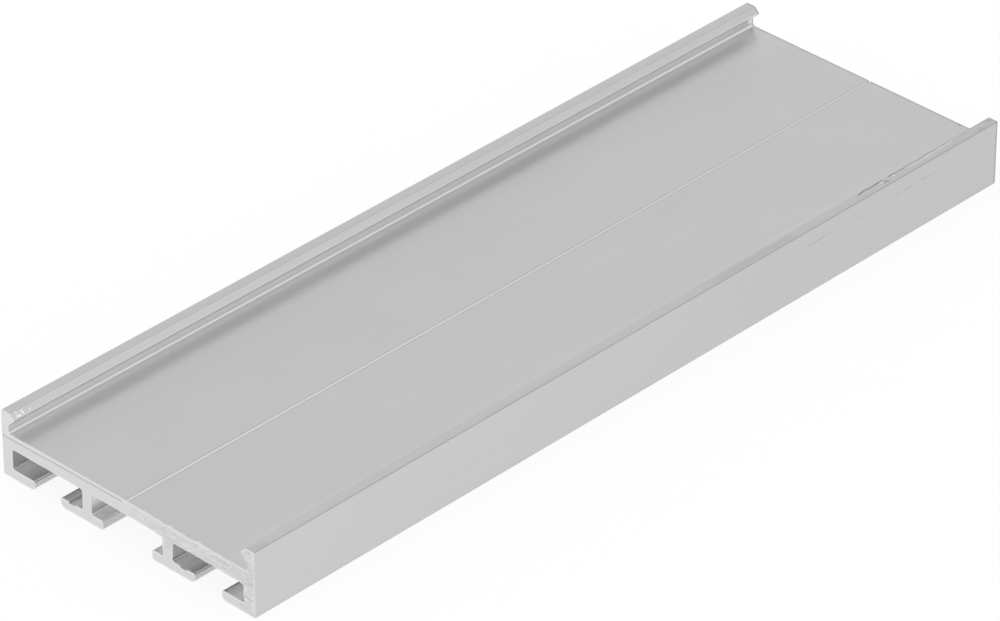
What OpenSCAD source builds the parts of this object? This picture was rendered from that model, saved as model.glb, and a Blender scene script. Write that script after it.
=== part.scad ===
// Aluminium extrusion: a shallow tray between two lipped walls, on three open
// slots. One section, symmetric about its middle, runs the whole length.
// X is across the profile, Y along it and Z up. The origin lies under its centre,
// on the plane of the feet.

/* [Stock] */
// Overall width over the two outer walls
profile_w = 65; // [58:0.5:90]
// Length that the bar was sawn to
cut_len = 200; // [20:1:3000]

/* [Deck] */
// Thickness of the deck between tray and slots
deck_t = 3.1; // [1.5:0.1:6]
// Depth of the tray, from the lips' tops to the deck
tray_depth = 4.5; // [4:0.1:12]
// Width of the line groove along the middle of the deck
line_w = 0.7; // [0.3:0.05:2]
// Depth of the line groove
line_depth = 0.35; // [0.1:0.05:0.8]

/* [Lips] */
// Thickness of the walls beside the tray, below the lips
lip_wall = 1.8; // [1:0.1:2.5]
// Width of the flat top of a lip
lip_top = 2.2; // [1.5:0.1:3.2]
// Leg of the chamfer from the flat top down to the nose
lip_chamfer = 1.1; // [0.4:0.1:1.6]
// Height of the nose's upright face
nose_h = 0.25; // [0.1:0.05:0.8]

/* [Slots] */
// Clear height of the three slots
slot_h = 4.3; // [2.5:0.1:10]
// Thickness of the feet and flanges under the slots
foot_t = 2.1; // [1.2:0.1:4]
// Thickness of the outer walls beside the slots
wall_t = 2.6; // [1.5:0.1:4]
// Thickness of the two ribs between the slots
rib_t = 2.4; // [1.5:0.1:4]
// Clear width of the middle slot, between the ribs
mid_slot_w = 18.4; // [15:0.1:21]
// Width of the middle slot's mouth
mid_mouth_w = 12.7; // [6:0.1:14]
// Width of the side slots' mouths
side_mouth_w = 6.8; // [4.5:0.1:8]

/* [Relief groove on the ribs' outer flanges] */
// Width of the groove
relief_w = 1.6; // [0.6:0.1:2.4]
// Depth of the groove
relief_depth = 0.4; // [0.1:0.05:0.8]
// From the rib's face to the middle of the groove
relief_inset = 2.8; // [1.8:0.1:3.2]

/* [Edge radii] */
// Lower edges of the side mouths
mouth_low_r = 1.2; // [0.2:0.1:1.4]
// Upper edges of the side mouths
mouth_top_r = 0.5; // [0.1:0.1:0.8]
// Both edges of the middle mouth
mid_mouth_r = 0.5; // [0.1:0.1:0.9]
// Inner corners of the slots
slot_r = 0.5; // [0.1:0.1:1]
// Inner corners of the tray's walls, at the deck and under the lips
root_r = 0.5; // [0.1:0.1:0.8]
// Edges of the nose
nose_r = 0.15; // [0.05:0.05:0.3]
// Outer edges on top
crest_r = 0.25; // [0.05:0.05:0.8]
// Outer edges below
heel_r = 0.4; // [0.1:0.1:1]

/* [Hidden] */

// Widest turn of one straight piece of a rounded corner, in degrees
arc_step = 15;
// Least straight stretch between two rounded corners
side_min = 0.02;

// Levels of the section
slot_top = foot_t + slot_h;
deck_z = slot_top + deck_t;
top_z = deck_z + tray_depth;

// The lip's chamfer and undercut both lean at 45 degrees
lip_reach = lip_top + lip_chamfer;
nose_low = top_z - lip_chamfer - nose_h;
undercut_low = nose_low - (lip_reach - lip_wall);

// Distances from the middle plane
outer_x = profile_w / 2;
slot_out_x = outer_x - wall_t;
rib_in_x = mid_slot_w / 2;
rib_out_x = rib_in_x + rib_t;
side_mouth_x = (rib_out_x + slot_out_x) / 2;
flange_tip_x = side_mouth_x - side_mouth_w / 2;
foot_tip_x = side_mouth_x + side_mouth_w / 2;
relief_x = rib_out_x + relief_inset;

// The tray's side of one half, from the middle of the deck out to the heel.
// Each corner is [x, z, radius].
tray_side = [
    [0, deck_z - line_depth, 0],
    [line_w / 2, deck_z, 0],
    [outer_x - lip_wall, deck_z, root_r],
    [outer_x - lip_wall, undercut_low, root_r],
    [outer_x - lip_reach, nose_low, nose_r],
    [outer_x - lip_reach, nose_low + nose_h, nose_r],
    [outer_x - lip_top, top_z, nose_r],
    [outer_x, top_z, crest_r],
    [outer_x, 0, heel_r]
];

// The side slot, from the foot's tip round to the flange's tip
side_slot = [
    [foot_tip_x, 0, mouth_low_r],
    [foot_tip_x, foot_t, mouth_top_r],
    [slot_out_x, foot_t, slot_r],
    [slot_out_x, slot_top, slot_r],
    [rib_out_x, slot_top, slot_r],
    [rib_out_x, foot_t, slot_r],
    [relief_x - relief_w / 2, foot_t, 0],
    [relief_x - relief_w / 2, foot_t - relief_depth, 0],
    [relief_x + relief_w / 2, foot_t - relief_depth, 0],
    [relief_x + relief_w / 2, foot_t, 0],
    [flange_tip_x, foot_t, mouth_top_r],
    [flange_tip_x, 0, mouth_low_r]
];

// Half of the middle slot, from the mouth up to the middle of its ceiling
mid_slot = [
    [mid_mouth_w / 2, 0, mid_mouth_r],
    [mid_mouth_w / 2, foot_t, mid_mouth_r],
    [rib_in_x, foot_t, slot_r],
    [rib_in_x, slot_top, slot_r],
    [0, slot_top, 0]
];

function flat(p) = [p.x, p.y];
function unit(v) = v / norm(v);

// From corner i of a path towards corner j
function heading(path, i, j) = unit(flat(path[j]) - flat(path[i]));

// Half of the angle between the two sides that meet at corner i
function half_angle(path, i) = acos(heading(path, i, i - 1) * heading(path, i, i + 1)) / 2;

// Length that the arc at corner i takes up on each of its sides
function arc_reach(path, i) = path[i].z == 0 ? 0 : path[i].z / tan(half_angle(path, i));

// Share of its radius that corner i keeps where a side is too short for its two arcs
function arc_share(path, i) =
    min([1, for (j = [i - 1, i])
        (norm(flat(path[j + 1]) - flat(path[j])) - side_min) / (arc_reach(path, j) + arc_reach(path, j + 1))]);

// Corner i as an arc from one side to the next
function arc_corner(path, i) =
    let (
        back = heading(path, i, i - 1),
        ahead = heading(path, i, i + 1),
        half = half_angle(path, i),
        r = path[i].z * arc_share(path, i),
        centre = flat(path[i]) + unit(back + ahead) * r / sin(half),
        first = flat(path[i]) + back * r / tan(half) - centre,
        turn = (180 - 2 * half) * -sign(cross(back, ahead)),
        start = atan2(first.y, first.x),
        steps = ceil(abs(turn) / arc_step)
    )
    [for (k = [0 : steps]) let (t = start + turn * k / steps) centre + r * [cos(t), sin(t)]];

// An open path with each corner that has a radius made into an arc
function rounded(path) =
    [for (i = [0 : len(path) - 1]) each path[i].z == 0 ? [flat(path[i])] : arc_corner(path, i)];

// The other half, without the two points that lie on the middle plane
function mirrored(path) = [for (i = [len(path) - 2 : -1 : 1]) [-path[i].x, path[i].y]];

half_section = rounded(concat(tray_side, side_slot, mid_slot));

module section() {
    polygon(concat(half_section, mirrored(half_section)));
}

module profile() {
    color("silver")
        rotate([90, 0, 0])
            linear_extrude(height = cut_len, center = true)
                section();
}

profile();
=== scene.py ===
# %% [markdown]
# # A sawn length of aluminium extrusion
#
# The object is one bar. Hot aluminium was pushed through a shaped die, so one section runs along
# its whole length, and a saw cut both ends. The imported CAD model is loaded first: it is the
# frame that everything is built in, in metres, and it is never moved or changed.

# %% Load the frame
import math

import bmesh
import bpy
import numpy as np
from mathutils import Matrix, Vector, geometry, noise


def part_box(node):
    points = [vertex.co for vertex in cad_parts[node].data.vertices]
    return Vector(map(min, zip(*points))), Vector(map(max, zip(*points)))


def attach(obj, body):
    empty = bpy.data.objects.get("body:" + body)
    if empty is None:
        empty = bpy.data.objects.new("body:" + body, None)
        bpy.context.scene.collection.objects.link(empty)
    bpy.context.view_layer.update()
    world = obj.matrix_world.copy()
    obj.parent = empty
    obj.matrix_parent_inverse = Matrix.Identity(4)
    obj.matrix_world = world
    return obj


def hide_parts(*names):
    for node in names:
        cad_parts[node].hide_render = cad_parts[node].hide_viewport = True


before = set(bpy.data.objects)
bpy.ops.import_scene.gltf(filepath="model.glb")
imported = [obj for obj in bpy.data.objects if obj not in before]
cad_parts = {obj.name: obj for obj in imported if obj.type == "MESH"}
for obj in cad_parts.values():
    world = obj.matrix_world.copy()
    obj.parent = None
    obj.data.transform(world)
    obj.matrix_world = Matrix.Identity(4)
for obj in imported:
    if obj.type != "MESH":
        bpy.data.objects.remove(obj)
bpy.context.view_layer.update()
MM = 0.001
NODE = "profile"
low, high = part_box(NODE)
print("bar, mm:", [round(side / MM, 2) for side in high - low])

# %% [markdown]
# ## The section
#
# A die gives its shape to the bar, so the shape to draw along the length is the outline of one
# end. It could be typed in again from a drawing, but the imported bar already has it: the faces of
# the near end are found by their normal, and the edges that only one of them uses are the
# outline. A copy of the mesh is merged first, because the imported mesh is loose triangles.

# %% Read the section off the near end
MERGE_WITHIN = 0.001 * MM
FACES_NEAR = -0.99


def end_outline(node):
    """The outline of a node's near end as rows of x and z, anticlockwise from in front."""
    bm = bmesh.new()
    bm.from_mesh(node.data)
    bmesh.ops.remove_doubles(bm, verts=bm.verts, dist=MERGE_WITHIN)
    near_end = {face for face in bm.faces if face.normal.y < FACES_NEAR}
    beside = {}
    for edge in bm.edges:
        if sum(face in near_end for face in edge.link_faces) == 1:
            a, b = edge.verts
            beside.setdefault(a, []).append(b)
            beside.setdefault(b, []).append(a)
    walk = [next(iter(beside))]
    walk.append(beside[walk[0]][0])
    while len(walk) < len(beside):
        ahead, behind = beside[walk[-1]]
        walk.append(behind if ahead is walk[-2] else ahead)
    outline = np.array([(v.co.x, v.co.z) for v in walk])
    bm.free()
    return outline if signed_area(outline) > 0 else outline[::-1]


def signed_area(outline):
    """The area inside an outline, above 0 where it runs anticlockwise."""
    x, z = outline.T
    return 0.5 * float(np.sum(x * np.roll(z, -1) - np.roll(x, -1) * z))


outline = end_outline(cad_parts[NODE])
print("section:", len(outline), "points,", round(signed_area(outline) / MM**2, 1), "square mm")

# %% [markdown]
# ## Crisper heels
#
# The lower outer edges of the real bar are sharper than the CAD section's. They could be drawn
# anew, but it is enough to shrink each rounded corner towards the point where its two sides would
# meet. That keeps its points and makes its radius smaller.

# %% Sharpen the heels
HEEL_REACH = 0.41 * MM
HEEL_SHARE = 0.4

for side in (low.x, high.x):
    corner = np.array([side, low.z])
    rounded = np.max(abs(outline - corner), axis=1) < HEEL_REACH
    outline[rounded] = corner + HEEL_SHARE * (outline[rounded] - corner)
    print("heel at x =", round(side / MM, 1), "mm:", int(rounded.sum()), "points")

# %% [markdown]
# ## Points for the tears and the score line
#
# A flat side of the section needs no points between its corners, except where the real bar has
# marks: its lips were torn and struck, and a score line runs along the right wall. A finer mesh all
# round would carry them too, but most of it would do nothing. So one function adds points to the
# outline's sides, and a small one for each kind of mark says where they go.

# %% Add points on the lips and the score line
LIP_ZONE = 1.6 * MM
LIP_SPACING = 0.16 * MM
SCORE_HEIGHT = 10.7 * MM
SCORE_HALF_WIDTH = 0.09 * MM
HAIR = 0.01 * MM


def split_sides(outline, shares):
    """The outline with points added to its sides, at the shares of each side that shares gives."""
    rows = []
    for a, b in zip(outline, np.roll(outline, -1, axis=0)):
        rows.append(a)
        rows.extend(a + share * (b - a) for share in shares(a, b))
    return np.array(rows)


def even_shares(a, b, spacing):
    """Even steps along a side, no longer than the spacing."""
    steps = math.ceil(np.linalg.norm(b - a) / spacing)
    return np.arange(1, steps) / steps


def lip_shares(a, b):
    """Even steps along a side that lies on a lip."""
    return even_shares(a, b, LIP_SPACING) if min(a[1], b[1]) > high.z - LIP_ZONE else []


def score_shares(a, b):
    """Both edges and the bottom of the score line, on the right wall alone."""
    on_wall = min(a[0], b[0]) > high.x - HAIR
    rows = [SCORE_HEIGHT - SCORE_HALF_WIDTH, SCORE_HEIGHT, SCORE_HEIGHT + SCORE_HALF_WIDTH]
    if not on_wall or not a[1] < rows[0] < rows[-1] < b[1]:
        return []
    return [(z - a[1]) / (b[1] - a[1]) for z in rows]


for shares in (lip_shares, score_shares):
    outline = split_sides(outline, shares)
print("section with points on the lips and the score line:", len(outline))

# %% [markdown]
# ## Points on the deck
#
# The deck beside each lip gets painted light, which lifts the lip's dark reflection in it. How bright
# depends on the distance from the wall, so each half of the deck gets a point at every distance in a
# short table. Three more points carry a chip in the deck's far edge.

# %% Add points on the deck
GROOVE_LOW, DECK_HIGH = 9.1 * MM, 9.505 * MM
WALL_FACE = 30.7 * MM
LEAST_SIDE = 2 * MM
CHIP_PLACES = (23.1 * MM, 23.3 * MM, 23.5 * MM)
# Painted light beside the lip, against the lip's dark reflection in the deck: distance from the
# wall in millimetres, and the tone there at the near and at the far end, below 0 for brighter
DECK_PAINTED_LIGHT = [
    (0.5, -0.27, -0.2),
    (1.4, -0.3, -0.22),
    (2.5, -0.36, -0.26),
    (4, -0.36, -0.26),
    (5.6, -0.15, -0.12),
    (7.5, -0.04, -0.04),
    (10, 0, 0),
]


def on_deck(point):
    """Whether a point lies on the deck or in its line groove."""
    return bool(GROOVE_LOW < point[1] < DECK_HIGH)


def deck_light_shares(a, b):
    """Points on each half of the deck, where the painted light beside the lip changes."""
    if not (on_deck(a) and on_deck(b)) or np.linalg.norm(b - a) < LEAST_SIDE:
        return []
    places = [WALL_FACE - distance * MM for distance, near, far in DECK_PAINTED_LIGHT[1:]]
    return sorted((place - abs(a[0])) / (abs(b[0]) - abs(a[0])) for place in places)


def chip_shares(a, b):
    """Points on the deck where its far edge is chipped."""
    if not (on_deck(a) and on_deck(b)):
        return []
    shares = [(x - a[0]) / (b[0] - a[0]) for x in CHIP_PLACES]
    return sorted(share for share in shares if 0 < share < 1)


for shares in (deck_light_shares, chip_shares):
    outline = split_sides(outline, shares)
print("section with points on the deck:", len(outline))

# %% [markdown]
# ## Points beside the rough cut and the line groove
#
# The saw left the right half of the near end lumpy. One function says how rough the cut is at any
# place, and the longer sides get even points where it is. A fine painted line of shade follows each
# edge of the groove along the deck's middle, so a point goes close to each edge and keeps it narrow.

# %% Add points beside the rough cut and the line groove
LUMP_SPACING = 0.8 * MM
ROUGH_FROM, ROUGH_TO = 0 * MM, 12 * MM
ROUGH_LOW, ROUGH_HIGH = 2 * MM, 6.5 * MM
ROUGH_WALL = 29 * MM
FOOT_ROUGH, LEAST_ROUGH = 0.15, 0.2
GROOVE_FROM, GROOVE_TO = 0.1 * MM, 1 * MM
EDGE_LINE = 0.2 * MM


def rough_share(x, z):
    """How rough the cut is: 0 on the left half, and 1 on the right end of the deck and its wall."""
    across = np.interp(x, [ROUGH_FROM, ROUGH_TO], [0, 1])
    return across * max(np.interp(z, [ROUGH_LOW, ROUGH_HIGH], [FOOT_ROUGH, 1]), x > ROUGH_WALL)


def rough_shares(a, b):
    """Even steps along the longer sides where the saw left the outline lumpy."""
    smooth = max(rough_share(*a), rough_share(*b)) < LEAST_ROUGH
    if smooth or np.linalg.norm(b - a) < 2 * LUMP_SPACING:
        return []
    return even_shares(a, b, LUMP_SPACING)


def at_groove_edge(point):
    """Whether a point is one of the two upper edges of the line groove."""
    return bool(GROOVE_FROM < abs(point[0]) < GROOVE_TO and point[1] > GROOVE_LOW)


def groove_shares(a, b):
    """A point close to each edge of the line groove, on the sides that meet there."""
    near = EDGE_LINE / np.linalg.norm(b - a)
    return [near] * at_groove_edge(a) + [1 - near] * at_groove_edge(b)


for shares in (rough_shares, groove_shares):
    outline = split_sides(outline, shares)
print("section with all points for the marks:", len(outline))

# %% [markdown]
# ## Stations along the bar
#
# The section is drawn along a straight path. The path's points are the stations where the
# mesh gets a ring: close together at the sawn ends and where the lip was torn and the wall scored,
# and far apart where nothing happens.

# %% Lay out the stations
EDGE_BREAK = 0.12 * MM
EDGE_STEPS = 4
# Start, end and spacing of each stretch, in millimetres from the near end
STRETCHES_MM = [
    (0.2, 5, 0.2),
    (5, 9, 1),
    (9, 141, 6),
    (141, 160, 1),
    (160, 190.5, 0.3),
    (190.5, 199.7, 0.4),
]


def near_stations():
    """Stations of a broken edge, crowded towards the saw cut."""
    turns = np.linspace(0, math.pi / 2, EDGE_STEPS)
    return EDGE_BREAK * (1 - np.cos(turns))


def stations():
    """All distances from the near end, in metres."""
    length = high.y - low.y
    inner = [np.arange(start, end, step) * MM for start, end, step in STRETCHES_MM]
    return np.concatenate([near_stations(), *inner, length - near_stations()[::-1]])


along = stations()
path_mesh = bpy.data.meshes.new("bar_path")
path_mesh.from_pydata(
    [(0, low.y + distance, 0) for distance in along],
    [(i, i + 1) for i in range(len(along) - 1)],
    [],
)
print("stations:", len(along))

# %% [markdown]
# ## A tree that draws a bar
#
# This is how the real bar was made, so it is how the mesh is made: Geometry Nodes turn a path
# and a section into curves and sweep one along the other. One small function adds a node with its
# settings and links, and it serves the finishes later too.

# %% Build the tree of the drawn bar
def add(tree, kind, inputs=None, gives=None, **settings):
    """Adds a node with its settings, and returns the output that is named, or else its first.

    An input that is given a socket is linked, and any other is given a value.
    """
    made = tree.nodes.new(kind)
    for name, value in settings.items():
        setattr(made, name, value)
    takes = {socket.name: socket for socket in made.inputs if socket.enabled}
    for name, value in (inputs or {}).items():
        socket = made.inputs[name] if isinstance(name, int) else takes[name]
        if isinstance(value, bpy.types.NodeSocket):
            tree.links.new(value, socket)
        else:
            socket.default_value = value
    offers = {socket.name: socket for socket in reversed(made.outputs) if socket.enabled}
    return offers[gives] if gives else next(reversed(offers.values()), None)


def drawn_bar_tree():
    """Sweeps the section object along the path that the modifier's own object holds."""
    tree = bpy.data.node_groups.new("Drawn bar", "GeometryNodeTree")
    for name, kind in (("Path", "Geometry"), ("Section", "Object"), ("Finish", "Material")):
        tree.interface.new_socket(name, in_out="INPUT", socket_type="NodeSocket" + kind)
    tree.interface.new_socket("Bar", in_out="OUTPUT", socket_type="NodeSocketGeometry")
    path = add(tree, "GeometryNodeMeshToCurve", {"Mesh": add(tree, "NodeGroupInput", gives="Path")})
    upright = add(tree, "GeometryNodeSetCurveNormal", {"Curve": path}, mode="Z_UP")
    die = add(tree, "NodeGroupInput", gives="Section")
    die_mesh = add(tree, "GeometryNodeObjectInfo", {"Object": die}, gives="Geometry")
    section = add(tree, "GeometryNodeMeshToCurve", {"Mesh": die_mesh})
    swept = add(tree, "GeometryNodeCurveToMesh", {"Curve": upright, "Profile Curve": section})
    plain = add(tree, "GeometryNodeRealizeInstances", {"Geometry": swept})
    finish = add(tree, "NodeGroupInput", gives="Finish")
    dressed = add(tree, "GeometryNodeSetMaterial", {"Geometry": plain, "Material": finish})
    add(tree, "NodeGroupOutput", {"Bar": dressed})
    return tree


bar_tree = drawn_bar_tree()
print("drawn bar:", len(bar_tree.nodes), "nodes")

# %% [markdown]
# ## The drawn bar
#
# The tree runs as a modifier on the path, and its result is turned into a plain mesh. Curve to
# Mesh lays a section's Y axis downwards on a path along +Y, so the section is handed over upside
# down. The mesh comes out as one ring of points per station, and all marks are made by moving those.

# %% Sweep the section along the path
def swept_mesh(path_mesh, outline, finish):
    """The mesh that the tree makes, with no modifier left behind."""
    section_mesh = bpy.data.meshes.new("bar_section")
    count = len(outline)
    section_mesh.from_pydata(
        [(x, -z, 0) for x, z in outline], [(i, (i + 1) % count) for i in range(count)], []
    )
    section = bpy.data.objects.new("bar_section", section_mesh)
    path = bpy.data.objects.new("bar_path", path_mesh)
    for helper in (section, path):
        bpy.context.scene.collection.objects.link(helper)
    sweep = path.modifiers.new("Drawn bar", "NODES")
    sweep.node_group = bar_tree
    values = {"Section": section, "Finish": finish}
    for item in sweep.node_group.interface.items_tree:
        if item.name in values:
            sweep[item.identifier] = values[item.name]
    made = bpy.data.meshes.new_from_object(path.evaluated_get(bpy.context.evaluated_depsgraph_get()))
    for helper in (section, path):
        bpy.data.objects.remove(helper)
    return made


mill_finish = bpy.data.materials.new("extruded_aluminium_mill_finish")
saw_finish = bpy.data.materials.new("aluminium_saw_cut")
bar_mesh = swept_mesh(path_mesh, outline, mill_finish)
rings = np.array([v.co for v in bar_mesh.vertices]).reshape(len(along), len(outline), 3)
outline = rings[0][:, [0, 2]].copy()
print("swept mesh:", len(bar_mesh.vertices), "vertices,", len(bar_mesh.polygons), "faces")

# %% [markdown]
# ## Broken edges
#
# A saw leaves no perfect corner: each edge of the cut is rounded by about a tenth of a
# millimetre, a little unevenly. A bevel modifier would round every edge alike, so the last
# rings of the sweep are drawn in instead, each point along its own inward direction and by an
# amount that wanders round the outline. On a tight round corner the points draw closer as they move
# in, so each may only use a share of the room that it has.

# %% Break the sawn edges
ROOM_SHARE = 0.35
BREAK_UNEVEN, BREAK_LUMP = 0.5, 1.2 * MM
LEAST_CLOSING = 1e-6


def inward_directions(outline):
    """The unit direction into the metal at each point of an anticlockwise outline."""
    ahead = np.roll(outline, -1, axis=0) - outline
    ahead /= np.linalg.norm(ahead, axis=1, keepdims=True)
    turned = np.stack([-ahead[:, 1], ahead[:, 0]], axis=1)
    both = turned + np.roll(turned, 1, axis=0)
    return both / np.linalg.norm(both, axis=1, keepdims=True)


def room_inwards(outline, inward):
    """How far each point can move in before it would meet a neighbour that moves in too."""
    ahead = np.roll(outline, -1, axis=0) - outline
    length = np.linalg.norm(ahead, axis=1)
    closing = np.sum((inward - np.roll(inward, -1, axis=0)) * ahead, axis=1) / length
    room = length / np.maximum(closing, LEAST_CLOSING)
    return np.minimum(room, np.roll(room, 1))


def wander(x, y, z, size):
    """Smooth noise from -1 to 1 whose lumps are about the given size, in metres."""
    return noise.noise(Vector((x, y, z)) / size)


inward = inward_directions(outline)
room = ROOM_SHARE * room_inwards(outline, inward)
for end, ring_ids in ((low.y, range(EDGE_STEPS)), (high.y, range(-1, -EDGE_STEPS - 1, -1))):
    uneven = np.array([1 + BREAK_UNEVEN * wander(x, end, z, BREAK_LUMP) for x, z in outline])
    for ring in ring_ids:
        left = 1 - min(abs(rings[ring][0][1] - end) / EDGE_BREAK, 1)
        draw_in = np.minimum(EDGE_BREAK * (1 - math.sqrt(1 - left**2)) * uneven, room)
        rings[ring][:, [0, 2]] += inward * draw_in[:, None]
print("edges broken by", EDGE_BREAK / MM, "mm")

# %% [markdown]
# ## The ragged right half
#
# On the right half of the near end the saw ran rough: it dragged the metal down, so the outline
# itself is lumpy there, and the deck hangs a little. The rings within a millimetre of the cut are
# moved by noise and by that drag, less and less away from the cut. The foot and the lip stay smooth.

# %% Rag the outline beside the rough cut
RAGGED_DEPTH = 0.4 * MM
RAGGED_REACH = 0.8 * MM
LUMP_SIZE, SMALL_LUMPS = 1.5 * MM, 0.5
DRAG_HEIGHTS, DRAG_SHARES = (6.4 * MM, 9.5 * MM), (-0.8, 0.4)
LUMPY_HEIGHTS, LUMPY_SHARES = (2 * MM, 4 * MM, 10 * MM, 12 * MM), (0, 1, 1, 0)
WALL_SHARE = 0.4


def lump(x, z):
    """How far the saw moved a point of the outline into the metal, as a share of the full depth."""
    uneven = wander(x, 0, z, LUMP_SIZE) + SMALL_LUMPS * wander(x, 0, z, LUMP_SIZE / 2)
    if x > high.x - HAIR:
        uneven *= WALL_SHARE
    else:
        uneven += np.interp(z, DRAG_HEIGHTS, DRAG_SHARES)
    return rough_share(x, z) * np.interp(z, LUMPY_HEIGHTS, LUMPY_SHARES) * uneven


lumps = np.array([lump(x, z) for x, z in outline])
for ring, y in zip(rings, along):
    if y < RAGGED_REACH:
        moved = np.minimum(RAGGED_DEPTH * (1 - y / RAGGED_REACH) * lumps, room)
        ring[:, [0, 2]] += inward * moved[:, None]
print("lumps, mm:", np.round(RAGGED_DEPTH / MM * np.array([lumps.min(), lumps.max()]), 2))

# %% [markdown]
# ## Painted shade and light on the skin
#
# The tone isn't the same all round. A fine line of painted shade runs along the edges and the heels,
# and the lips' tops are a little darker. The noses get a painted highlight, and so does a line under
# the dark one on the outer top edges. The slots, the lips' walls and undercuts, the right wall and the
# groove's sides get painted light, which lifts their shade and reflections. Where an edge runs is
# known from the outline: it turns to the left there. The amount goes into one number per point, above
# 0 for darker and below 0 for brighter, which the finishes read later as an attribute.

# %% Paint shade on the edges, and light on the slots, lips and walls
EDGE_TURN = math.radians(10)
# Painted shade: a fine dark line along the edges, darker at the heels
EDGE_PAINTED_SHADE, HEEL_PAINTED_SHADE = 0.6, 1.2
CREST_BAND = (0.02 * MM, 0.15 * MM)
TOP_ACROSS, TOP_TILT = (30.3 * MM, 32.2 * MM), (-0.06, 0)
NOSE_BAND = (1 * MM, 1.5 * MM)
SLOT_LOW, SLOT_HIGH = 1.6 * MM, 6.45 * MM
SLOT_OUT, MIDDLE_SLOT = 29.95 * MM, 9.3 * MM
ROOT_HIGH, UNDERCUT_LOW = 10 * MM, 11.2 * MM
LIP_FROM, LIP_TO = 29.1 * MM, 30.75 * MM
GROOVE_TOP = 9.43 * MM


def left_turns(outline):
    """The angle by which an outline turns to the left at each point."""
    ahead = np.roll(outline, -1, axis=0) - outline
    behind = np.roll(ahead, 1, axis=0)
    cross = behind[:, 0] * ahead[:, 1] - behind[:, 1] * ahead[:, 0]
    return np.arctan2(cross, np.sum(behind * ahead, axis=1))


right = outline[:, 0] > 0
off_middle = abs(outline[:, 0])
height = outline[:, 1]
drop = high.z - height
on_edge = left_turns(outline) > EDGE_TURN
on_top = drop < HAIR
deck = (height > GROOVE_LOW) & (height < DECK_HIGH) & (off_middle < LIP_TO)
groove = deck & ((height < GROOVE_TOP) | on_edge)
by_lip = (off_middle > LIP_FROM) & (off_middle < LIP_TO)
nose = (drop > NOSE_BAND[0]) & (drop < NOSE_BAND[1]) & (off_middle < LIP_TO)
crest = on_edge & (off_middle > LIP_TO) & (height > DECK_HIGH)
heel = on_edge & (off_middle > SLOT_OUT) & (height < SLOT_LOW)
in_slot = (off_middle < SLOT_OUT) & (height > SLOT_LOW) & (height < SLOT_HIGH)

# Each row is a zone and its tone at the near and at the far end, and a later row overrules. The
# lips' tops are a little darker; every other row is painted light and shade: painted light on the
# lips' walls and undercuts, the slots, the groove's sides and the noses, a painted reflection of
# the floor on the right wall, brighter at the near end, painted shade along the edges, heels, crests
# and groove edges, and a painted highlight under the crests
zones = [
    (by_lip & (height > DECK_HIGH), -0.4, -0.4),
    (by_lip & (height > ROOT_HIGH), -0.57, -0.6),
    (by_lip & (height > UNDERCUT_LOW), -1, -1),
    (drop < NOSE_BAND[0], 0, 0),
    (off_middle > high.x - HAIR, -0.22, -0.07),
    (on_top & ~right, 0.05, 0.05),
    (on_top & right, 0.08, 0.2),
    (on_edge & ((height > DECK_HIGH) | (off_middle > SLOT_OUT)), EDGE_PAINTED_SHADE, EDGE_PAINTED_SHADE),
    (heel, HEEL_PAINTED_SHADE, HEEL_PAINTED_SHADE),
    (crest & (drop < CREST_BAND[0]), 0.2, 0.3),
    (crest & (drop > CREST_BAND[1]), -0.4, -0.1),
    (in_slot, -0.85, -0.85),
    (in_slot & (off_middle < MIDDLE_SLOT), -0.75, -0.75),
    (groove, -0.24, -0.18),
    (groove & on_edge, 0.5, 0.3),
    (groove & on_edge & right, 1, 0.5),
    (nose, -0.3, -0.3),
]
wear_and_painted_light = np.zeros(rings.shape[:2])
for zone, near_tone, far_tone in zones:
    wear_and_painted_light[:, zone] = (near_tone + (far_tone - near_tone) * along / along[-1])[:, None]

# The right lip's top is a little brighter towards its inner edge
right_top = on_top & right
wear_and_painted_light[:, right_top] += np.interp(off_middle[right_top], TOP_ACROSS, TOP_TILT)
print("edge points per ring:", int(on_edge.sum()))

# %% [markdown]
# ## Painted light on the deck beside the lips
#
# The deck right beside a lip gets painted light, which lifts the lip's dark reflection there, and
# it fades into the rest. On the right the strip is narrower and starts some way in from the near end.
# Both rims come last, because they overrule the rest: the near one gets a painted highlight, and
# the far one a painted line of shade.

# %% Paint light on the deck beside the lips, and light and shade on the rims
RIGHT_REACH = 0.7
RIGHT_FADE, FAR_FADE = 9 * MM, 8 * MM
# A painted highlight along the near rim
RIM_PAINTED_HIGHLIGHT = -0.45

distance, near_deck_light, far_deck_light = np.array(DECK_PAINTED_LIGHT).T
from_wall = (WALL_FACE - off_middle[deck]) / np.where(right[deck], RIGHT_REACH, 1)
for ring_wear_and_light, y in zip(wear_and_painted_light, along):
    deck_light = near_deck_light + (far_deck_light - near_deck_light) * y / along[-1]
    starts = np.where(right[deck], min(y / RIGHT_FADE, 1), 1)
    ends = min((along[-1] - y) / FAR_FADE, 1)
    ring_wear_and_light[deck] += starts * ends * np.interp(from_wall, distance * MM, deck_light)
wear_and_painted_light[:EDGE_STEPS] = RIM_PAINTED_HIGHLIGHT
wear_and_painted_light[-EDGE_STEPS:] = EDGE_PAINTED_SHADE
print("wear from", round(float(wear_and_painted_light.min()), 2), "to", round(float(wear_and_painted_light.max()), 2))

# %% [markdown]
# ## The torn lip
#
# Towards the far end, something scraped the inner top edge of the right lip and tore it. The mark
# could be painted on, but a torn edge catches light from every side, so it is pressed into the
# mesh. Each tear is a path on the lip's top, given by its distance from the lip's inner edge and
# from the near end. Points close to the path are pressed down and darkened, and the burrs that the
# scrape threw up are raised and get a painted glint.

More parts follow.
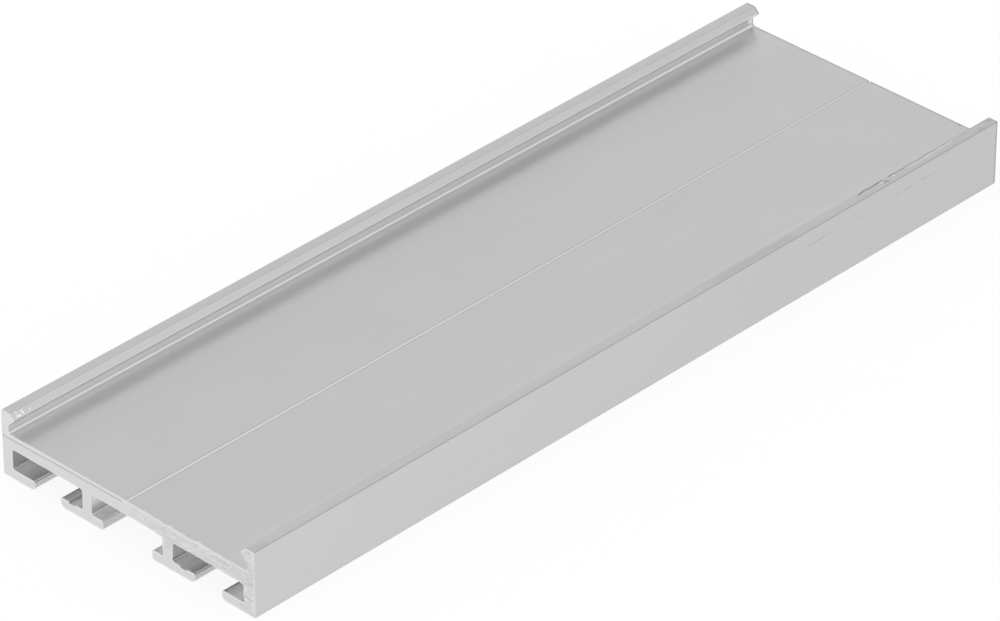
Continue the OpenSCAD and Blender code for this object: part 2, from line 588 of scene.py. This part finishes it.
# %% Tear the right lip's inner edge
TEARS_MM = [
    [(0.45, 161.5), (0.3, 162.3), (0.1, 163.7), (0.3, 164.3), (0.3, 165.9), (0.15, 167.5), (0.3, 168.4)],
    [(0.85, 168.3), (1, 169), (1.3, 169.1)],
    [(0.15, 170.5), (0.15, 171.6), (0.45, 172)],
    [(0.25, 174.2), (0.25, 174.4)],
]
TEAR_WIDTH, TEAR_DEPTH, TEAR_SHADE = 0.16 * MM, 0.16 * MM, 0.9
FINE_TEARS_MM = [
    [(0.2, 172.3), (0.2, 174)],
    [(0.15, 174.9), (0.2, 177.6), (0.35, 178.5), (0.15, 179.9), (0.1, 181.3), (0.2, 183.6), (0.05, 184.8)],
    [(0.1, 185.8), (0, 188)],
]
FINE_WIDTH, FINE_DEPTH, FINE_SHADE = 0.1 * MM, 0.08 * MM, 0.7
BURRS_MM = [
    [(0.6, 167.6), (0.65, 168)],
    [(0.6, 171.2), (0.65, 171.6)],
]
# The burrs are raised, and their brightness is a painted glint
BURR_WIDTH, BURR_RISE, BURR_PAINTED_GLINT = 0.14 * MM, 0.06 * MM, -1.2
MARK_UNEVEN, MARK_LUMP = 0.5, 0.8 * MM
# A mark is full within half its width of the path, and has faded out at this many widths
FADED_WIDTHS = 1.5


def distance_to_path(places, path):
    """How far places lie from a path, with both in two measures across and along the bar."""
    nearest = np.full(len(places), np.inf)
    for start, end in zip(path, path[1:]):
        line = end - start
        share = np.clip((places - start) @ line / (line @ line), 0, 1)
        gap = np.linalg.norm(places - start - share[:, None] * line, axis=1)
        nearest = np.minimum(nearest, gap)
    return nearest


def mark_paths(rows, across, paths_mm, width, push, shade):
    """Presses paths into some rows of points of every ring: moves and shades what is close to them."""
    paths = [np.array(path) * MM for path in paths_mm]
    for ring, ring_wear_and_light, y in zip(rings, wear_and_painted_light, along):
        places = np.stack([across, np.full(len(across), y)], axis=1)
        nearest = np.min([distance_to_path(places, path) for path in paths], axis=0)
        uneven = 1 + MARK_UNEVEN * wander(y, 0, 0, MARK_LUMP)
        bite = np.clip(FADED_WIDTHS - nearest / width, 0, 1) * uneven
        ring_wear_and_light[rows] += shade * bite
        ring[np.ix_(rows, [0, 2])] += np.array(push) * bite[:, None]


inner_edge = outline[right_top, 0].min()
right_lip = right & (drop < LIP_ZONE)
inset = outline[right_lip, 0] - inner_edge
mark_paths(right_lip, inset, TEARS_MM, TEAR_WIDTH, (0, -TEAR_DEPTH), TEAR_SHADE)
mark_paths(right_lip, inset, FINE_TEARS_MM, FINE_WIDTH, (0, -FINE_DEPTH), FINE_SHADE)
mark_paths(right_lip, inset, BURRS_MM, BURR_WIDTH, (0, BURR_RISE), BURR_PAINTED_GLINT)
print("torn edge at x =", round(inner_edge / MM, 2), "mm")

# %% [markdown]
# ## Scratches, smudges and a chip
#
# The same lip has fine scratches at its far end, a strip of painted highlight beside the tears,
# and two smudges on its top. The deck's far edge has a small chip. All are paths again: the scratches
# and the chip are pressed in, and the rest only changes the tone.

# %% Scratch and smudge the right lip, and chip the deck
SCRATCHES_MM = [
    [(0.1, 191), (0.4, 192.5)],
    [(1.3, 194.5), (1.6, 196)],
    [(1.85, 195.3), (1.9, 196.2)],
    [(0.05, 193.5), (0.1, 199.6)],
    [(0.7, 198), (0.75, 199.5)],
    [(1, 198.5), (1.1, 199.7)],
]
SCRATCH_WIDTH, SCRATCH_DEPTH, SCRATCH_SHADE = 0.1 * MM, 0.03 * MM, 0.5
# A painted highlight along the lip's top beside the fine tears
HIGHLIGHT_STRIP_MM = [[(0.7, 175.5), (0.75, 178.5), (0.65, 182), (0.6, 188)]]
STRIP_WIDTH, STRIP_PAINTED_HIGHLIGHT = 0.25 * MM, -0.25
SMUDGES_MM = [[(1.2, 0.8), (1.5, 3.5)], [(0.9, 119), (1, 128), (1, 141)]]
SMUDGE_WIDTH, SMUDGE_SHADE = 0.8 * MM, 0.15
CHIP_MM = [[(23.25, 199.85), (23.35, 199.85)]]
CHIP_WIDTH, CHIP_DEPTH, CHIP_SHADE = 0.12 * MM, 0.1 * MM, 2
STAYS = (0, 0)

right_deck = deck & right
mark_paths(right_lip, inset, SCRATCHES_MM, SCRATCH_WIDTH, (0, -SCRATCH_DEPTH), SCRATCH_SHADE)
mark_paths(right_lip, inset, HIGHLIGHT_STRIP_MM, STRIP_WIDTH, STAYS, STRIP_PAINTED_HIGHLIGHT)
mark_paths(right_top, outline[right_top, 0] - inner_edge, SMUDGES_MM, SMUDGE_WIDTH, STAYS, SMUDGE_SHADE)
mark_paths(right_deck, outline[right_deck, 0], CHIP_MM, CHIP_WIDTH, (0, -CHIP_DEPTH), CHIP_SHADE)
print("scratches:", len(SCRATCHES_MM), "smudges:", len(SMUDGES_MM), "chips:", len(CHIP_MM))

# %% [markdown]
# ## The score line
#
# A hard speck in the die, or a rub on a rack, left a fine broken line along the right wall. It is
# a groove a few hundredths of a millimetre deep, so the middle one of the three points that were
# added to the wall moves in. Each dash is a stretch of the bar with its own strength.

# %% Score the right wall
# Start and end of each dash in millimetres from the near end, and its strength
SCORES_MM = [
    (144.5, 146, 0.8), (147, 150, 1), (150.5, 152, 0.5), (159, 162.5, 0.5), (163, 164, 0.5),
    (165, 167, 0.5), (168.5, 170, 0.6), (170.5, 171.5, 0.8), (172.5, 175, 1), (177.5, 179.5, 1),
    (180, 183, 0.6), (183.5, 187.5, 0.3), (188, 190.5, 0.3), (191, 192.5, 0.7), (196, 197, 0.8),
]
SCORE_DEPTH = 0.05 * MM
SCORE_WEAR = 0.8

score_row = right & (off_middle > high.x - HAIR) & (abs(height - SCORE_HEIGHT) < HAIR)
for ring, ring_wear_and_light, y in zip(rings, wear_and_painted_light, along):
    bite = max((strength for start, end, strength in SCORES_MM if start <= y / MM <= end), default=0)
    ring[score_row, 0] -= SCORE_DEPTH * bite
    ring_wear_and_light[score_row] += SCORE_WEAR * bite
print("scored points per ring:", int(score_row.sum()))

# %% [markdown]
# ## Strokes on the left lip
#
# Close to the near end something hard struck the left lip's chamfer and left a few short strokes,
# which get a painted glint. They are paths too, given by their distance from the lip's top and from
# the near end, and the metal along them is pushed up a little.

# %% Strike the left lip's chamfer
STROKES_MM = [
    [(0.1, 1.4), (0.8, 1.25), (0.8, 2.15)],
    [(0.35, 2.6), (0.8, 2.9)],
    [(0.6, 4.35), (0.7, 4.5)],
]
# The strokes' brightness is a painted glint
STROKE_WIDTH, STROKE_PAINTED_GLINT = 0.08 * MM, -1.1
STROKE_PUSH = (0.04 * MM, 0.04 * MM)
CHAMFER_DROP = 0.03 * MM

left_chamfer = ~right & (drop > CHAMFER_DROP) & (drop < NOSE_BAND[0]) & (off_middle < LIP_TO)
mark_paths(left_chamfer, drop[left_chamfer], STROKES_MM, STROKE_WIDTH, STROKE_PUSH, STROKE_PAINTED_GLINT)
print("strokes:", len(STROKES_MM))

# %% [markdown]
# ## The saw's marks
#
# The blade stopped and started again: a fine step crosses the left half of the cut, and the right
# half is smeared. They are too large for a bump in the finish, so they are heights in the mesh: how
# far a place lies inside the plane of the cut. Both ends get the same marks.

# %% Shape the saw's marks
STEP_HEIGHT = 0.05 * MM
STEP_LEFT_Z, STEP_MIDDLE_Z = 8.55 * MM, 8.95 * MM
STEP_END_X = -1 * MM
STEP_BLUR, STEP_MARGIN = 0.06 * MM, 1.1
# A painted line of shade on the step, and a painted highlight strip above it
STEP_PAINTED_SHADE, ABOVE_STEP_HIGHLIGHT = 0.45, -0.15
SMEAR_DEPTH = 0.08 * MM
FINE_SMEAR, FINE_STRETCH = 0.7 * MM, 3
BROAD_SMEAR, BROAD_SHARE, BROAD_PLANE = 1.6 * MM, 0.6, 3 * MM


def step_z(x):
    """Height of the saw's step across the left half of the cut."""
    return STEP_LEFT_Z + (STEP_MIDDLE_Z - STEP_LEFT_Z) * (x - low.x) / (STEP_END_X - low.x)


def saw_relief(x, z):
    """How far the surface lies inside the plane of the cut."""
    fine = wander(x / FINE_STRETCH, 0, z, FINE_SMEAR)
    smear = fine + BROAD_SHARE * wander(x, BROAD_PLANE, z, BROAD_SMEAR)
    above = np.clip((z - step_z(x)) / (2 * STEP_BLUR) + 0.5, 0, 1) if x < STEP_END_X else 0
    return STEP_HEIGHT * above + rough_share(x, z) * SMEAR_DEPTH * max(0, smear)


def step_painted_light(x, z):
    """Painted light and shade on the cut: a painted dark line on the step, and a painted highlight strip
    above it.
    """
    above = (z - step_z(x)) / STEP_BLUR
    if x > STEP_END_X or above < -STEP_MARGIN:
        return 0
    return STEP_PAINTED_SHADE if above < STEP_MARGIN else ABOVE_STEP_HIGHLIGHT


print("step, mm: from", round(step_z(low.x) / MM, 2), "to", round(step_z(STEP_END_X) / MM, 2), "high")

# %% [markdown]
# ## A grid across the cut
#
# The sweep left both ends open. One flat face would close them, but the saw's marks need points
# across the cut. So a fine grid is laid over the section, with two rows along the step to keep it
# crisp, and only the points that lie inside the outline, clear of its corners, are kept.

# %% Lay the grid
GRID = 0.3 * MM
CLEARANCE = GRID / 3

columns = np.arange(low.x, high.x, GRID)
rows = np.arange(low.z + GRID / 2, high.z, GRID)


def grid_points(edge):
    """Points inside an outline, on a grid and along both sides of the step."""
    points = [(x, z) for x in columns for z in rows if abs(z - step_z(x)) > GRID / 2]
    for side in (-STEP_BLUR, STEP_BLUR):
        points += [(x, step_z(x) + side) for x in columns if x < STEP_END_X]
    return [point for point in points if well_inside(point, edge)]


def well_inside(point, edge):
    """Whether a point lies inside an outline and clear of its corners."""
    x, z = point
    side = np.roll(edge, -1, axis=0) - edge
    spans = (edge[:, 1] > z) != (edge[:, 1] + side[:, 1] > z)
    rising = np.where(spans, side[:, 1], 1)
    crossing = edge[:, 0] + (z - edge[:, 1]) / rising * side[:, 0]
    inside = np.count_nonzero(spans & (x < crossing)) % 2 == 1
    share = np.clip(np.sum((point - edge) * side, axis=1) / np.sum(side**2, axis=1), 0, 1)
    gap = np.linalg.norm(edge + share[:, None] * side - point, axis=1).min()
    return inside and gap > CLEARANCE


print("grid:", len(columns), "by", len(rows), "places")

# %% [markdown]
# ## The sawn ends
#
# A constrained Delaunay triangulation joins the grid to the outline without crossing it, and each
# grid point is then set in by the saw's relief. The last lines turn all faces outwards, because the
# sweep's own direction depends on which way the section ran, and leave only the true edges sharp.

# %% Close the ends
CUT_SLOT = 1
INSIDE_ONLY, SAME_POINT = 1, 1e-9
SMOOTH_ANGLE = math.radians(35)


def close_end(bm, ring_verts, outward):
    """Fills one end with triangles, set in by the saw's relief, and returns how many."""
    edge = np.array([(v.co.x, v.co.z) for v in ring_verts])
    count = len(edge)
    rim = [(i, (i + 1) % count) for i in range(count)]
    points = [Vector(p) for p in edge] + [Vector(p) for p in grid_points(edge)]
    flat = geometry.delaunay_2d_cdt(points, rim, [], INSIDE_ONLY, SAME_POINT)
    wear_and_light, rough = (bm.verts.layers.float[name] for name in ("wear_and_painted_light", "rough"))
    verts = []
    for place, sources in zip(flat[0], flat[3]):
        if sources and sources[0] < count:
            verts.append(ring_verts[sources[0]])
            continue
        x, z = place
        made = bm.verts.new((x, ring_verts[0].co.y - outward * saw_relief(x, z), z))
        made[wear_and_light] = step_painted_light(x, z)
        made[rough] = rough_share(x, z)
        verts.append(made)
    for corners in flat[2]:
        bm.faces.new([verts[i] for i in corners]).material_index = CUT_SLOT
    return len(flat[2])


bar_mesh.vertices.foreach_set("co", rings.reshape(-1))
rough_along = np.tile([rough_share(x, z) for x, z in outline], len(along))
for name, values in (("wear_and_painted_light", wear_and_painted_light.reshape(-1)), ("rough", rough_along)):
    bar_mesh.attributes.new(name, "FLOAT", "POINT").data.foreach_set("value", values)
bm = bmesh.new()
bm.from_mesh(bar_mesh)
bm.verts.ensure_lookup_table()
near_ring = bm.verts[:len(outline)]
far_ring = bm.verts[-len(outline):]
end_faces = [close_end(bm, near_ring, -1), close_end(bm, far_ring, 1)]
bmesh.ops.recalc_face_normals(bm, faces=bm.faces)
for face in bm.faces:
    face.smooth = True
open_edges = sum(not edge.is_manifold for edge in bm.edges)
volume = bm.calc_volume(signed=True)
bm.to_mesh(bar_mesh)
bm.free()
bar_mesh.set_sharp_from_angle(angle=SMOOTH_ANGLE)
bar_mesh.calc_loop_triangles()
print("ends:", end_faces, "faces; open edges:", open_edges)
print("bar:", len(bar_mesh.loop_triangles), "triangles,", round(volume / MM**3), "cubic mm")

# %% [markdown]
# ## The bar takes its place
#
# The finished mesh becomes one object at the origin. It stands for the CAD bar, which is hidden
# but stays in the physics, and it moves with the same body. The tree already gave it the mill
# finish, and the saw-cut finish follows in the second slot.

# %% Stand the bar in for the CAD node
bar_mesh.name = "profile_bar"
bar_mesh.materials.append(saw_finish)
bar = bpy.data.objects.new("profile_bar", bar_mesh)
bpy.context.scene.collection.objects.link(bar)
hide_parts(NODE)
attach(bar, "root")
print("materials:", [material.name for material in bar_mesh.materials])

# %% [markdown]
# ## Colours, and how wear and painted light change them
#
# Colours are easiest to pick as sRGB hex, and a shader takes linear light, so one function turns
# them. Both finishes go darker where wear and painted shade are above 0, and brighter where painted
# light is below 0, so the nodes for that are built by one function too.

# %% Prepare the finishes
def linear(hex_colour):
    """A colour written as sRGB hex, as the linear RGBA that a shader takes."""
    parts = [int(hex_colour[i:i + 2], 16) / 255 for i in (1, 3, 5)]
    return [c / 12.92 if c <= 0.04045 else ((c + 0.055) / 1.055) ** 2.4 for c in parts] + [1]


def fresh_tree(owner):
    """The node tree of a material or a world, emptied."""
    owner.use_nodes = True
    owner.node_tree.nodes.clear()
    return owner.node_tree


def worn_and_lit_colour(tree, plain, dark, bright):
    """The plain colour, mixed with a dark one for wear and painted shade, and a bright one for painted
    light.
    """
    wear_and_light = add(tree, "ShaderNodeAttribute", gives="Fac", attribute_name="wear_and_painted_light")
    darker = add(tree, "ShaderNodeMapRange", {"Value": wear_and_light})
    shaded = add(tree, "ShaderNodeMix", {
        "Factor": darker, "A": plain, "B": linear(dark),
    }, data_type="RGBA")
    brighter = add(tree, "ShaderNodeMapRange", {"Value": wear_and_light, "From Max": -1})
    return add(tree, "ShaderNodeMix", {
        "Factor": brighter, "A": shaded, "B": linear(bright),
    }, data_type="RGBA")


print("#808080 in linear light:", round(linear("#808080")[0], 3))

# %% [markdown]
# ## Mill-finish aluminium
#
# Aluminium straight from the press is neither polished nor painted: a soft grey metal with fine
# lines along the length, where the die dragged, and faint clouds of thicker oxide. All of it is
# noise on the object's own coordinates, stretched along the bar for the die lines.

# %% Mill finish
# Extruded aluminium, mill finish: a satin grey that blurs what it mirrors, with fine drawn lines
MILL_DARK, MILL_LIGHT = "#BFBFBF", "#C3C3C4"
# The dark tone is for wear and painted shade, and the bright one for painted light and glints
MILL_WORN_AND_SHADED, MILL_PAINTED_LIGHT = "#909090", "#F6F6F6"
MILL_ROUGHNESS = 0.285, 0.33
MILL_TONES, CLOUD_TONES = (0.7, 1.3), (0.3, 0.7)
# The die lines are finer on the real bar, and drawn as coarse as they need to show
DIE_LINE = (0.5 * MM, 70 * MM, 0.5 * MM)
DIE_LINE_DEPTH, DIE_LINE_STRENGTH = 0.004 * MM, 0.2
OXIDE_CLOUD = 16 * MM

tree = fresh_tree(mill_finish)
place = add(tree, "ShaderNodeTexCoord", gives="Object")
drawn = add(tree, "ShaderNodeMapping", {"Vector": place, "Scale": [1 / size for size in DIE_LINE]})
die_lines = add(tree, "ShaderNodeTexNoise", {"Vector": drawn, "Scale": 1, "Detail": 3})
clouds = add(tree, "ShaderNodeTexNoise", {"Vector": place, "Scale": 1 / OXIDE_CLOUD, "Detail": 3})
both = add(tree, "ShaderNodeMath", {0: die_lines, 1: clouds}, operation="ADD")
tone = add(tree, "ShaderNodeMapRange", {
    "Value": both, "From Min": MILL_TONES[0], "From Max": MILL_TONES[1],
})
skin = add(tree, "ShaderNodeMix", {
    "Factor": tone, "A": linear(MILL_DARK), "B": linear(MILL_LIGHT),
}, data_type="RGBA")
roughness = add(tree, "ShaderNodeMapRange", {
    "Value": clouds, "From Min": CLOUD_TONES[0], "From Max": CLOUD_TONES[1],
    "To Min": MILL_ROUGHNESS[0], "To Max": MILL_ROUGHNESS[1],
})
relief = add(tree, "ShaderNodeBump", {
    "Strength": DIE_LINE_STRENGTH, "Distance": DIE_LINE_DEPTH, "Height": die_lines,
})
metal = add(tree, "ShaderNodeBsdfPrincipled", {
    "Base Color": worn_and_lit_colour(tree, skin, MILL_WORN_AND_SHADED, MILL_PAINTED_LIGHT),
    "Metallic": 1, "Roughness": roughness, "Normal": relief,
})
add(tree, "ShaderNodeOutputMaterial", {"Surface": metal})
print("mill finish:", len(tree.nodes), "nodes")

# %% [markdown]
# ## Saw-cut aluminium
#
# A fresh cut is brighter than the skin, because no oxide has grown on it yet, and rougher: the
# teeth leave short scratches across the cut, and on the right half the metal was dragged into
# wavy streaks. The geometry has the larger marks, and the fine ones are tone and bump here.

# %% Saw-cut finish
# Aluminium, saw-cut: bright and matt, grained along the way the blade went
CUT_DARK, CUT_LIGHT = "#DDDDDD", "#E2E2E2"
SMEAR_DARK, SMEAR_LIGHT = "#CCCCCC", "#E8E8E8"
# A painted line of shade on the step and the far rim, and a painted highlight on the near rim and above
# the step
CUT_SHADED_AND_WORN, CUT_PAINTED_HIGHLIGHT = "#A0A0A0", "#FFFFFF"
CUT_ROUGHNESS = 0.45
CUT_TONES, STREAK_TONES = (0.35, 0.65), (0.3, 0.7)
TOOTH_MARK = (1.6 * MM, 1 * MM, 0.16 * MM)
TOOTH_DEPTH, TOOTH_STRENGTH = 0.01 * MM, 0.5
SMEAR_STREAK, SMEAR_SWIRL = (2.4 * MM, 1 * MM, 0.7 * MM), 1.3
STREAK_DEPTH, STREAK_STRENGTH = 0.1 * MM, 0.7

tree = fresh_tree(saw_finish)
place = add(tree, "ShaderNodeTexCoord", gives="Object")
sawn = add(tree, "ShaderNodeMapping", {"Vector": place, "Scale": [1 / size for size in TOOTH_MARK]})
tooth_marks = add(tree, "ShaderNodeTexNoise", {"Vector": sawn, "Scale": 1, "Detail": 4})
tone = add(tree, "ShaderNodeMapRange", {
    "Value": tooth_marks, "From Min": CUT_TONES[0], "From Max": CUT_TONES[1],
})
clean = add(tree, "ShaderNodeMix", {
    "Factor": tone, "A": linear(CUT_DARK), "B": linear(CUT_LIGHT),
}, data_type="RGBA")
dragged = add(tree, "ShaderNodeMapping", {"Vector": place, "Scale": [1 / size for size in SMEAR_STREAK]})
streaks = add(tree, "ShaderNodeTexNoise", {
    "Vector": dragged, "Scale": 1, "Detail": 3, "Distortion": SMEAR_SWIRL,
})
streaked = add(tree, "ShaderNodeMapRange", {
    "Value": streaks, "From Min": STREAK_TONES[0], "From Max": STREAK_TONES[1],
})
smeared = add(tree, "ShaderNodeMix", {
    "Factor": streaked, "A": linear(SMEAR_DARK), "B": linear(SMEAR_LIGHT),
}, data_type="RGBA")
rough = add(tree, "ShaderNodeAttribute", gives="Fac", attribute_name="rough")
cut = add(tree, "ShaderNodeMix", {"Factor": rough, "A": clean, "B": smeared}, data_type="RGBA")
scratched = add(tree, "ShaderNodeBump", {
    "Strength": TOOTH_STRENGTH, "Distance": TOOTH_DEPTH, "Height": tooth_marks,
})
smear_height = add(tree, "ShaderNodeMath", {0: streaks, 1: rough}, operation="MULTIPLY")
relief = add(tree, "ShaderNodeBump", {
    "Strength": STREAK_STRENGTH, "Distance": STREAK_DEPTH, "Height": smear_height, "Normal": scratched,
})
metal = add(tree, "ShaderNodeBsdfPrincipled", {
    "Base Color": worn_and_lit_colour(tree, cut, CUT_SHADED_AND_WORN, CUT_PAINTED_HIGHLIGHT),
    "Metallic": 1, "Roughness": CUT_ROUGHNESS, "Normal": relief,
})
add(tree, "ShaderNodeOutputMaterial", {"Surface": metal})
print("saw-cut finish:", len(tree.nodes), "nodes")

# %% [markdown]
# ## The floor
#
# The floor is white board: most of what the camera and the metal see of it is a plain white glow,
# and the rest is matt, so that the bar still throws a soft shadow. It lies a hair below the bar,
# because two faces in the same plane would flicker through each other.

# %% Floor
FLOOR_SIZE = 8
FLOOR_GAP = 0.02 * MM
FLOOR_GLOW = 0.9
BOARD_WHITE, WHITE = "#FCFCFC", "#FFFFFF"
ROOM_LEVEL = 1


def seen_directly(tree):
    """1 for rays from the camera, in reflections or through glass, and 0 for the rest."""
    kinds = ("Is Camera Ray", "Is Glossy Ray", "Is Transmission Ray")
    flags = [add(tree, "ShaderNodeLightPath", gives=kind) for kind in kinds]
    either = add(tree, "ShaderNodeMath", {0: flags[0], 1: flags[1]}, operation="MAXIMUM")
    return add(tree, "ShaderNodeMath", {0: either, 1: flags[2]}, operation="MAXIMUM")


half = FLOOR_SIZE / 2
corners = [(x * half, y * half, -FLOOR_GAP) for x, y in ((-1, -1), (1, -1), (1, 1), (-1, 1))]
floor_mesh = bpy.data.meshes.new("floor")
floor_mesh.from_pydata(corners, [], [(0, 1, 2, 3)])
floor = bpy.data.objects.new("floor", floor_mesh)
bpy.context.scene.collection.objects.link(floor)
floor_finish = bpy.data.materials.new("white_board_matt")
floor_mesh.materials.append(floor_finish)
tree = fresh_tree(floor_finish)
board = add(tree, "ShaderNodeBsdfDiffuse", {"Color": linear(BOARD_WHITE)})
glow = add(tree, "ShaderNodeEmission", {"Color": linear(WHITE), "Strength": ROOM_LEVEL})
share = add(tree, "ShaderNodeMath", {0: seen_directly(tree), 1: FLOOR_GLOW}, operation="MULTIPLY")
mixed = add(tree, "ShaderNodeMixShader", {0: share, 1: board, 2: glow})
add(tree, "ShaderNodeOutputMaterial", {"Surface": mixed})
print("floor:", FLOOR_SIZE, "m across")

# %% [markdown]
# ## The light
#
# Metal looks like what it mirrors. In a plain white room with a strength of 1 it mirrors white, so
# its colour renders as it is written. One weak softbox behind the right side lifts the faces that
# lean that way. Light in the slots goes from metal to metal many times, so many bounces are allowed.

# %% Light
SOFTBOX_PLACE = (0.8, 0.3, 0.75)
SOFTBOX_SIZE, SOFTBOX_POWER = 0.8, 0.4
METAL_BOUNCES = 12

world = bpy.data.worlds.new("white_studio")
bpy.context.scene.world = world
tree = fresh_tree(world)
sky = add(tree, "ShaderNodeBackground", {"Color": linear(WHITE), "Strength": ROOM_LEVEL})
add(tree, "ShaderNodeOutputWorld", {"Surface": sky})

softbox = bpy.data.lights.new("softbox_right", "AREA")
softbox.size = SOFTBOX_SIZE
softbox.energy = SOFTBOX_POWER
lamp = bpy.data.objects.new("softbox_right", softbox)
lamp.location = SOFTBOX_PLACE
lamp.rotation_euler = (-Vector(SOFTBOX_PLACE)).to_track_quat("-Z", "Y").to_euler()
lamp.visible_camera = False
bpy.context.scene.collection.objects.link(lamp)
bpy.context.scene.cycles.glossy_bounces = METAL_BOUNCES
bpy.context.scene.view_settings.view_transform = "Standard"
print("softbox:", SOFTBOX_POWER, "watts")

# %% [markdown]
# ## The camera
#
# The picture was taken with a long lens from above the near right corner. Its place was worked
# out from the bar's own corners: the direction that it looks from is an azimuth and an
# elevation, and the lens is given by how many pixels its focal length spans.

# %% Camera
IMAGE_WIDTH = 1000
FOCAL_PIXELS = 6766.6
AZIMUTH, ELEVATION = math.radians(43.88), math.radians(33.09)
CAMERA_PLACE = (0.73235, -0.76579, 0.69338)

camera = bpy.data.cameras.new("camera")
camera.sensor_fit = "HORIZONTAL"
camera.lens = FOCAL_PIXELS / IMAGE_WIDTH * camera.sensor_width
towards_camera = Vector((
    math.sin(AZIMUTH) * math.cos(ELEVATION),
    -math.cos(AZIMUTH) * math.cos(ELEVATION),
    math.sin(ELEVATION),
))
viewer = bpy.data.objects.new("camera", camera)
viewer.location = CAMERA_PLACE
viewer.rotation_euler = (-towards_camera).to_track_quat("-Z", "Y").to_euler()
bpy.context.scene.collection.objects.link(viewer)
bpy.context.scene.camera = viewer
print("lens:", round(camera.lens, 1), "mm")
